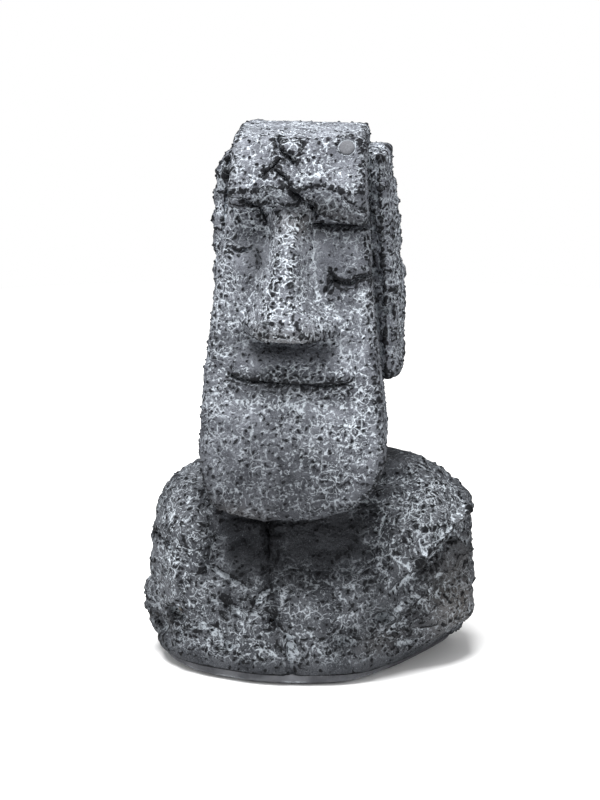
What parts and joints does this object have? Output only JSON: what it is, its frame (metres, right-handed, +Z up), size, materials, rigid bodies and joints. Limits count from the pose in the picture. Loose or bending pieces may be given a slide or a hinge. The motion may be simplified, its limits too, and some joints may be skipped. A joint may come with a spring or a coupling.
{
  "type": "moai bust figure",
  "caption": "Carved-stone-look moai head and shoulders bust, hollow cast in two pieces, with a closed, weighted base.",
  "frame": {"origin": "on the ground plane, under the middle of the bust's outline", "axes": "+Z up, the face looks along -Y, +X to the figure's left"},
  "size_m": [0.184, 0.116, 0.3],
  "materials": {
    "stone_head": "matte, dry brushed",
    "stone_torso": "matte, dry brushed",
    "stone_base": "matte",
    "vent_filler": "matte, smooth",
    "epoxy": "matte",
    "plated_steel": "zinc plated",
    "brass": "turned",
    "rubber": "matte",
    "sand": "loose, dry"
  },
  "bodies": {
    "bust": {"head_casting": "stone_head", "torso_casting": "stone_torso", "base_plate": "stone_base", "vent_plug": "vent_filler", "neck_bond": "epoxy", "neck_stud": "plated_steel", "neck_washer": "plated_steel", "neck_nut": "plated_steel", "base_screws": "plated_steel", "neck_sleeve": "brass", "screw_inserts": "brass", "foot_front_left": "rubber", "foot_front_right": "rubber", "foot_rear_left": "rubber", "foot_rear_right": "rubber", "sand_ballast": "sand"},
    "stopper": {"fill_stopper": "rubber"}
  },
  "joints": [
    {"name": "stopper_pull", "type": "slide", "parent": "bust", "child": "stopper", "axis": [0, 0, -1], "range_m": [0, 0.03]}
  ]
}
